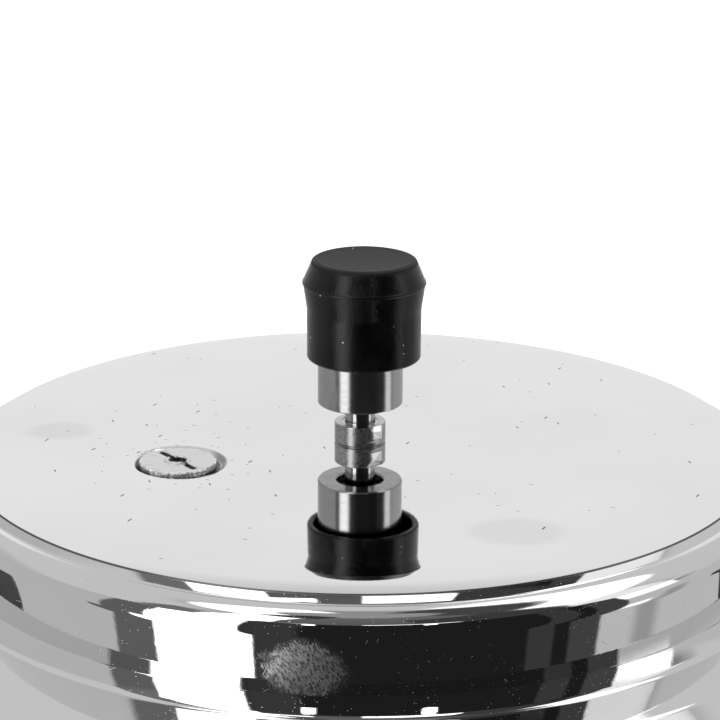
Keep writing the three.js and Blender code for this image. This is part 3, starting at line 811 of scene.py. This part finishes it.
def build_plug():
    draw = random.Random(7)
    nicks = []
    for _ in range(26):
        nicks.append((draw.uniform(0, 2 * math.pi), draw.uniform(0.02, 0.09), draw.uniform(0.1, 0.38)))
    shank, top = PLUG_SHANK, PLUG_SHANK + PLUG_HEAD

    def form(grid):
        """Wears nicks into the rim of the head."""
        radius, angle = polar(grid)
        worn = np.zeros_like(angle)
        for at, width, depth in nicks:
            away = np.abs((angle - at + math.pi) % (2 * math.pi) - math.pi)
            worn = np.maximum(worn, depth * np.clip(1 - away / width, 0, 1))
        worn = np.where((radius > 8.4) & (grid[..., 2] > top - 0.6), worn, 0)
        widen(grid, radius, radius - worn)
        grid[..., 2] -= worn * 0.35

    outline = loop_of([
        (2.1, 0), (5.6, 0, 0.2), (6, 0.6, 0.2), (6, shank - 0.28), (8.75, shank - 0.28, 0.1),
        (8.95, shank, 0.1), (8.95, top - 0.28, 0.12), (8.62, top, 0.15), (3.3, top - 0.05, 0.3),
        (2.75, top + 0.28, 0.15), (2.3, top + 0.3, 0.12), (2.1, top + 0.1, 0.1)])
    plug = revolved("screwed_plug", outline, 160, form, 28.0)
    slot_half, slot_reach = 6.55, 0.75
    walls = [stadium(slot_half, slot_reach - 0.12, top - SLOT_DEPTH, 8),
             stadium(slot_half, slot_reach + 0.25, top + 1, 8)]
    cut_away(plug, [moved(lofted("slot", walls), turn=SLOT_TURN)], 30.0)
    place(moved(plug, PLUG.x, PLUG.y, PLUG_LOW.z), "safety_plug", ALUMINIUM)
    low, high = corners("fusible_core")
    radius = (high.x - low.x) / 2 + 0.25
    core = revolved("fusible_slug", rounded([
        (0, low.z), (radius, low.z, 0.2), (radius, high.z - 0.1, 0.3), (radius * 0.6, high.z - 0.25, 0.8),
        (0, high.z - 0.3)]), TINY)
    place(moved(core, PLUG.x, PLUG.y), "fusible_core", ALLOY)


def build_weight():
    low, high = corners("weight_body")
    base = low.z
    seat, shoulder, rim = base + 14.9, base + 23.4, base + 26.4
    outline = rounded([
        (0, shoulder), (3.2, shoulder), (3.2, seat), (5.5, seat), (5.5, base + 0.35, 0.1),
        (5.8, base, 0.1), (9.75, base, 0.1), (10.02, base + 0.28, 0.12), (10.02, rim, 0.2),
        (4.5, rim), (4.5, high.z), (0, high.z)], 15.0)
    place(revolved("weight_cylinder", outline, 128), "weight_body", TURNED)
    low, high = corners("weight_needle")
    needle = rounded([
        (0, low.z), (0.5, low.z + 0.05, 0.2), (2.6, low.z + 2.9, 0.3), (2.9, low.z + 3.3, 0.2),
        (2.9, high.z), (0, high.z)])
    place(revolved("needle_seat", needle, TINY), "weight_needle", TURNED)


def build_cap():
    base, top = CAP_LOW.z, CAP_HIGH.z
    ridge = (CAP_HIGH.x - CAP_LOW.x) / 2
    inner = 11.8
    outline = rounded([
        (0, base + 19.1), (5.4, base + 19.1), (5.4, base + 15.6), (inner, base + 15.6, 0.8),
        (inner, base + 0.35, 0.2), (inner + 0.35, base, 0.2), (13.0, base, 0.3), (13.33, base + 0.45, 0.3),
        (13.33, base + 11.9, 9.0), (14.2, base + 17.75, 0.3), (ridge, base + 17.95, 0.12),
        (ridge, base + 18.35, 0.12), (14.2, base + 18.55, 0.3), (12.15, top - 0.35, 0.7),
        (11.2, top - 0.05, 0.7), (9.5, top - 0.2, 6.0), (0, top - 0.62, 6.0)], 6.0)
    cap = moved(revolved("moulded_cap", outline, 128), x=(CAP_LOW.x + CAP_HIGH.x) / 2)
    place(cap, "weight_cap", CAP)


def build_clip():
    """A round spring wire bent to an open ring."""
    low, high = corners("weight_clip")
    centre_z = (low.z + high.z) / 2
    wire = (high.z - low.z) / 2
    radius = (high.x - low.x) / 2 - wire
    rings = []
    for k in range(73):
        angle = math.radians(-65 + 310 * k / 72)
        ring = []
        for m in range(12):
            turn = 2 * math.pi * m / 12
            reach = radius + wire * math.cos(turn)
            z = centre_z + wire * math.sin(turn)
            ring.append((reach * math.cos(angle), reach * math.sin(angle), z))
        rings.append(ring)
    place(lofted("spring_clip", rings), "weight_clip", SHADED_SPRING)


# ---------- pot ----------

def pot_outline():
    rim, floor, wall = POT_HIGH.z, POT_LOW.z, 109.5
    outside = rounded([
        (0, floor), (wall, floor, 14.0), (wall, rim - SHEET, 3.5), (113.2, rim - SHEET, 0.1),
        (113.3, rim - 0.75, 0.1)], 5.0)
    inside = rounded([
        (113.3, rim - 0.75), (113.2, rim, 0.7), (wall - SHEET, rim, 5.0),
        (wall - SHEET, floor + SHEET, 12.5), (0, floor + SHEET)], 5.0)
    return outside + inside[1:]


def pot_form(grid):
    """Pulls the rim out into lugs whose edge turns down."""
    radius, angle = polar(grid)
    lug = lug_window(angle, 0.0)
    widen(grid, radius, radius + lug * step_between(radius, 111.6, 113.1) * 2.35)
    under = (grid[..., 2] < POT_HIGH.z - 1.0) & (radius > 112.4)
    grid[..., 2] -= np.where(under, lug * 1.1, 0)


def build_pot():
    place(revolved("pot_sheet", pot_outline(), BIG, pot_form), "pot_body", POLISHED)
    low, high = corners("base_cover")
    outer, sheet = high.x, 0.8
    cover = rounded([(0, 0), (outer, 0, 1.2), (outer, high.z, 0.3), (outer - sheet, high.z, 0.3),
                     (outer - sheet, sheet, 0.5), (0, sheet)])
    place(revolved("base_cap", cover, BIG), "base_cover", BASE)
    low, high = corners("base_core")
    core = rounded([(0, low.z), (high.x, low.z, 0.4), (high.x, high.z, 0.4), (0, high.z)])
    place(revolved("heat_disc", core, BIG), "base_core", ALUMINIUM)


# ---------- handles ----------

def ring_section(x, half_width, bottom, top, corner, crown=0.0):
    """A rounded rectangle across X, with a crowned top."""
    ring = []
    corner = min(corner, half_width * 0.98, (top - bottom) / 2 * 0.98)
    for quarter, (side, end) in enumerate(((1, 1), (-1, 1), (-1, -1), (1, -1))):
        centre_z = (top - corner) if end > 0 else (bottom + corner)
        for k in range(7):
            angle = math.radians(90 * quarter + 15 * k)
            y = side * (half_width - corner) + corner * math.cos(angle)
            z = centre_z + corner * math.sin(angle)
            if end > 0:
                z += crown * (1 - (y / half_width) ** 2)
            ring.append((x, y, z))
    return ring


def grip(name, low, high, waist):
    """A moulded grip along X: waisted in the middle, with a rounded nose."""
    length = high.x - low.x
    half = (high.y - low.y) / 2
    nose = 12.0

    def lift(x):
        return 3.0 * math.sin(math.pi * min(x / length / 0.93, 1.0))

    rings = []
    for x in [0.0, 0.25, 0.8, 1.6, *np.linspace(3, length - nose, 60)]:
        ease = 1 - math.exp(-x / 0.5) if x < 3 else 1.0
        edge = 0.8 * (1 - ease)
        narrow = waist * math.sin(math.pi * min(x / length / 0.86, 1.0)) ** 2
        wide = (half - narrow) * (1.0 - 0.1 * (1 - ease))
        rings.append(ring_section(low.x + x, wide, low.z + lift(x) * 0.9 + edge,
                                  high.z - 1.0 - lift(x) * 0.5 - edge, 7.0, 1.0))
    mid = (low.z + high.z) / 2 - 0.5
    for k in range(1, 12):
        angle = math.pi / 2 * k / 12
        reach = math.cos(angle) ** 0.8
        x = length - nose + nose * math.sin(angle)
        tall = ((high.z - low.z) / 2 - 0.5) * (0.35 + 0.65 * reach)
        wide = half * (0.45 + 0.55 * reach)
        rings.append(ring_section(low.x + x, wide, mid - tall + lift(x) * 0.9, mid + tall,
                                  7.0 * (0.4 + 0.6 * reach), reach))
    return lofted(name, rings, 50.0)


def counterbore(x, y, mouth, screw_low):
    """Cuts a flared hole, from below the mouth up to the seat of a screw's head."""
    seat = screw_low + SCREW_HEAD
    outline = rounded([
        (0, mouth - 3), (5.2, mouth - 3), (4.4, mouth + 1.2, 0.6), (4.3, seat), (0, seat)])
    return moved(revolved("bore", outline, TINY), x, y)


def build_pot_handle():
    low, high = corners("pot_handle")
    cutters = []
    for node in ("pot_screw_inner", "pot_screw_outer"):
        spot = middle(node)
        cutters.append(counterbore(spot.x, spot.y, low.z + 2.0, corners(node)[0].z))
    flares = ((low.z - 4, 3.0), (low.z + 2.6, 1.3), (low.z + 4.2, 0.25), (low.z + 6, 0.0),
              (high.z - 6, 0.0), (high.z - 3.4, 0.25), (high.z - 1.8, 1.3), (high.z + 3, 3.0))
    eye = [stadium(7, 4.0 + flare, z, 12, high.x - 20) for z, flare in flares]
    cutters.append(lofted("eye", eye))
    place(cut_away(grip("pot_grip", low, high, 2.2), cutters, 50.0), "pot_handle", PHENOLIC)


def turned_back(node):
    """A lid handle part's corners with the lid turned to locked, so that it lies along X."""
    turn = Matrix.Rotation(-LOCK_TURN, 3, "Z")
    points = np.array([turn @ v.co for v in frame["nodes"][node].data.vertices]) / MM
    return Vector(points.min(0)), Vector(points.max(0))


def build_lid_handle():
    low, high = turned_back("lid_handle")
    cutters = []
    for node in ("lid_screw_inner", "lid_screw_outer"):
        start, end = turned_back(node)
        cutters.append(counterbore((start.x + end.x) / 2, 0, low.z + 1.0, start.z))
    piece = cut_away(grip("lid_grip", low, high, 2.0), cutters, 50.0)
    place(moved(piece, turn=LOCK_TURN), "lid_handle", PHENOLIC)


def screw_piece(name, height):
    """A pan-head screw that points up from z = 0, with a cross recess."""
    outline = rounded([
        (0, 0), (3.0, 0.0, 1.6), (4.0, 1.1, 0.5), (4.0, SCREW_HEAD, 0.1), (2.1, SCREW_HEAD),
        (2.1, height - 1, 0.2), (1.2, height, 0.2), (0, height)])
    long, thin, deep = 2.3, 0.5, 1.1
    arms = [block("arm", (-x, -y, -1), (x, y, deep)) for x, y in ((long, thin), (thin, long))]
    return cut_away(revolved(name, outline, TINY), arms, 35.0)


def build_screws():
    for count, node in enumerate(sorted(n for n in NODE_BODY if "_screw_" in n)):
        low, high = corners(node)
        centre = (low + high) / 2
        screw = screw_piece(node.replace("screw", "pan_screw"), high.z - low.z)
        place(moved(screw, centre.x, centre.y, low.z, turn=0.4 * count), node, SATIN)


def curved_plate(inner, bottom, top, azimuth, angle):
    """A plate 1.6 mm thick bent round the wall, with rounded edges."""
    outer = inner + 1.6
    outline = loop_of([(inner, bottom, 0.4), (outer, bottom, 0.6), (outer, top, 0.6), (inner, top, 0.4)])
    rings = []
    for k in range(25):
        at = math.radians(azimuth - angle / 2 + angle * k / 24)
        rings.append([(r * math.cos(at), r * math.sin(at), z) for r, z in outline])
    return lofted("plate", rings)


def build_brackets():
    wall = 109.6
    low, high = corners("pot_bracket")
    centre = (low.z + high.z) / 2
    plate = curved_plate(wall, low.z, high.z, 0, 18)
    tongue = block("tongue", (wall + 1, -7, centre - 2.5), (high.x, 7, centre + 2.5), 0.6)
    place(merged("pot_strap", [plate, tongue]), "pot_bracket", SATIN)
    low, high = turned_back("lid_bracket")
    plate = curved_plate(118.1, low.z, high.z, 0, 18)
    tongue = block("tongue", (119.2, -7, 129), (high.x, 7, 133.5), 0.6)
    place(moved(merged("lid_strap", [plate, tongue]), turn=LOCK_TURN), "lid_bracket", SATIN)
    low, high = corners("helper_bracket")
    centre = (low.z + high.z) / 2
    parts = [curved_plate(wall, low.z, high.z, 180, 44)]
    for y in (-33.5, 33.5):
        parts.append(block("ear", (low.x, y - 4, centre - 2), (-106.4, y + 4, centre + 2), 0.6))
    place(merged("helper_strap", parts), "helper_bracket", SATIN)


def build_flame_guard():
    """An open sleeve of 1 mm sheet."""
    low, high = corners("pot_flame_guard")
    rings = []
    for x, inset in ((low.x, 0), (high.x, 0), (high.x, 1), (low.x, 1)):
        rings.append(ring_section(x, high.y - inset, low.z + inset, high.z - inset, 4.0 - inset))
    guard = lofted("steel_guard", rings, endless=True)
    bevel = guard.modifiers.new("edge", "BEVEL")
    bevel.width = 0.3 * MM
    bevel.segments = 2
    bevel.limit_method = "ANGLE"
    settle(guard)
    soften(guard, 40.0)
    place(guard, "pot_flame_guard", GUARD)


def cast(line, centre, direction):
    """Where a ray from the centre last meets a closed line."""
    best = 0.0
    for start, end in zip(line, np.roll(line, -1, 0)):
        edge, away = end - start, start - centre
        turn = direction[1] * edge[0] - direction[0] * edge[1]
        if abs(turn) < 1e-9:
            continue
        reach = (away[1] * edge[0] - away[0] * edge[1]) / turn
        along = (direction[0] * away[1] - direction[1] * away[0]) / turn
        if -1e-9 <= along <= 1 + 1e-9:
            best = max(best, reach)
    return centre + direction * best


def build_helper_handle():
    """A loop grip: a rounded bar whose section runs round the finger gap."""
    low, high = corners("helper_handle")
    far, half = low.x, high.y
    outer = rounded([(-112, -half), (far, -half, 26), (far, half, 26), (-112, half)], 4.0)
    outer = np.array(outer + arc((0, 0), 111.9, 158, 202, 1.8)[1:-1])
    gap = np.array(loop_of([(-123.5, -25, 5), (-143, -25, 14), (-143, 25, 14), (-123.5, 25, 5)], 4.0))
    centre = np.array((-132.0, 0.0))
    rings = []
    samples = 160
    for k in range(samples):
        angle = 2 * math.pi * k / samples
        direction = np.array((math.cos(angle), math.sin(angle)))
        inner = cast(gap, centre, direction)
        width = np.linalg.norm(cast(outer, centre, direction) - inner)
        section = loop_of([(s, z, 4.5) for s, z in (
            (0, low.z), (width, low.z), (width, high.z), (0, high.z))], 15.0)
        rings.append([(*(inner + direction * s), z) for s, z in section])
    cutters = []
    for node in ("helper_screw_front", "helper_screw_rear"):
        spot = middle(node)
        cutters.append(counterbore(spot.x, spot.y, low.z, corners(node)[0].z))
    piece = lofted("helper_grip", rings, 50.0, endless=True)
    place(cut_away(piece, cutters, 50.0), "helper_handle", PHENOLIC)


# ---------- studio ----------

# The studio as the polished steel sees it. First its brightness along the arc from the front, over
# the top, to the back, in degrees. Then its panels, later ones in front: azimuth from the front
# towards +X, elevation, their two softnesses, the lean of their sides, and their brightness.
OVERHEAD = ((0, 0.10), (46, 0.10), (50, 0.12), (80, 0.15), (88, 0.24), (114, 0.36), (126, 0.7), (138, 0.9))
PANELS = (
    ((-190, -57), (-95, 66), 2, 3, 0, 0.53),  # left wall
    ((-190, -72), (30, 66), 4, 6, 0, 0.66),
    ((70, 190), (-95, 14), 1, 4, 0, 0.58),  # right wall
    ((70, 98), (22, 50), 1, 3, 0, 1.0),
    ((70, 90), (11, 24), 1, 3, 0, 1.6),
    ((98, 190), (12, 66), 6, 3, 0, 0.66),
    ((-190, -158), (-10, 34), 4, 3, 0, 0.92),  # bright sweep behind
    ((158, 190), (-10, 34), 4, 3, 0, 0.92),
    ((-190, 190), (80, 95), 30, 2, 0, 0.34),  # ceiling
    ((-168, -58), (67, 79), 3, 1, 0, 1.6),  # lamp at the upper left
    ((74, 168), (48, 64), 3, 1, 0, 1.7),  # lamp at the upper right
    ((60, 165), (66, 79), 4, 1, 0, 0.07),  # its dark top
    ((-30, 71.5), (-95, 44), 1, 1, 0, 0.014),  # dark front
    ((20, 70), (42, 68), 2, 2, 0, 0.05),
    ((-30, -16), (-95, 44), 2, 2, 0, 0.045),
    ((49, 57), (-95, 40), 0.6, 3, 0, 0.045),
    ((62, 71.5), (-95, 42), 0.5, 3, 0, 0.06),
    ((84, 92), (-95, -2), 2.5, 4, 0, 0.36),
    ((71.5, 80), (-23, -11), 1.5, 3, 0, 1.6),  # small lamp at the right
    ((-73.5, -57), (-95, -10), 0.8, 2, 0, 0.13),  # dark edge of the window
    ((-69, -54), (-12, 30), 1, 2, 0, 0.13),
    ((-70, -54), (28, 58), 2, 2, -0.15, 0.18),
    ((-60.5, -31), (-95, -10), 0.5, 3, 0, 2.4),  # tall window at the left
    ((-56, -31), (-12, 71), 0.6, 1, 0, 2.4),
    ((-62, -22), (72, 83), 1, 1, 0, 0.05),
    ((-33, -15), (49.5, 54.5), 0.8, 0.5, 0, 2.4),
    ((1, 32), (45, 55), 0.6, 0.5, 0, 2.0),  # lamp over the front
    ((-15.8, -12.4), (33, 37), 0.4, 0.8, 0, 9.0),  # two small lamps
    ((17.8, 21.4), (33, 37), 0.4, 0.8, 0, 9.0),
)


def build_world():
    """White to the camera, and a studio of pale walls, dark flags and windows to everything else."""
    world = bpy.data.worlds.new("studio")
    bpy.context.scene.world = world
    world.use_nodes = True
    sky = Graph(world.node_tree)
    direction = sky.node("ShaderNodeTexCoord").outputs["Generated"]
    x, y, z = sky.node("ShaderNodeSeparateXYZ", {0: direction}).outputs
    front = sky.times(y, -1.0)
    degrees = 180 / math.pi
    azimuth = sky.times(sky.math("ARCTAN2", x, front), degrees)
    elevation = sky.times(sky.math("ARCSINE", z), degrees)
    level = sky.profile(sky.times(sky.math("ARCTAN2", z, front), degrees), OVERHEAD)
    for (left, right), (low, high), soft_azimuth, soft_elevation, lean, brightness in PANELS:
        across = azimuth
        if lean:
            across = sky.minus(azimuth, sky.times(sky.minus(elevation, low), lean))
        inside = sky.times(sky.window(across, left, right, soft_azimuth),
                           sky.window(elevation, low, high, soft_elevation))
        level = sky.blend(inside, level, brightness)
    seen = sky.node("ShaderNodeLightPath").outputs["Is Camera Ray"]
    colour = sky.grey(sky.blend(seen, level, 1.0))
    background = sky.node("ShaderNodeBackground", {"Color": colour, "Strength": 1.0})
    sky.node("ShaderNodeOutputWorld", {0: background.outputs[0]})


def build_floor():
    """Pale paper that fades into the white behind it."""
    size = 8.0
    square = [(x, y, 0) for x, y in ((-size, -size), (size, -size), (size, size), (-size, size))]
    floor = new_object("floor", square, [(0, 1, 2, 3)])
    look = Surface("pale_floor")
    paper = look.spread(look.noise(0.05, 3.0), 0.86, 0.9)
    floor.data.materials.append(look.done(paper, 0.9, metallic=0.0, specular=0.1))
    look.feed(look.shader.inputs["Alpha"], look.ramp(look.length(look.x, look.y), 900, 2400, 1.0, 0.0))
    floor.visible_glossy = False


def build_lights():
    """Three soft lamps, which the polished steel doesn't show."""
    for name, position, size, power in (
            ("key", (-1.3, -1.2, 1.7), (1.4, 1.4), 38), ("fill", (1.6, -0.9, 1.3), (1.2, 1.2), 20),
            ("back", (0.2, 1.9, 1.8), (2.0, 1.2), 30)):
        light = bpy.data.lights.new(name, "AREA")
        light.shape = "RECTANGLE"
        light.size, light.size_y = size
        light.energy = power
        lamp = linked(name, light)
        lamp.location = position
        lamp.rotation_euler = (Vector((0, 0, 0.12)) - lamp.location).to_track_quat("-Z", "Y").to_euler()
        lamp.visible_glossy = False


def build_camera():
    """Looks down at the lid from the front, along the line that the vent stands on."""
    aside, distance, above_edge = -2.15, 617.6, 215.7
    pitch, yaw, roll = math.radians(17.49), math.radians(0.19), math.radians(0.3)
    lens = bpy.data.cameras.new("camera")
    lens.lens = 138.5
    lens.sensor_width = 36.0
    lens.clip_start = 0.01
    camera = linked("camera", lens)
    forward = Vector((math.sin(yaw) * math.cos(pitch), math.cos(yaw) * math.cos(pitch), -math.sin(pitch)))
    level = Vector((math.cos(yaw), -math.sin(yaw), 0))
    right = level * math.cos(roll) + level.cross(forward) * math.sin(roll)
    turn = Matrix((right, right.cross(forward), -forward)).transposed().to_4x4()
    spot = Vector((aside, -distance, LID_EDGE_Z + above_edge)) * MM
    camera.matrix_world = Matrix.Translation(spot) @ turn
    bpy.context.scene.camera = camera


# ---------- assembly ----------

bpy.context.scene.view_settings.view_transform = "Standard"
build_camera()
build_world()
build_floor()
build_lights()
build_pot()
build_lid()
build_gasket()
build_vent()
hex_nut("vent_hexagon", "vent_nut", 13, 4.4)
hex_nut("plug_hexagon", "plug_nut", 19, 6.2)
build_seals()
build_plug()
build_weight()
build_cap()
build_clip()
build_brackets()
build_flame_guard()
build_pot_handle()
build_lid_handle()
build_helper_handle()
build_screws()
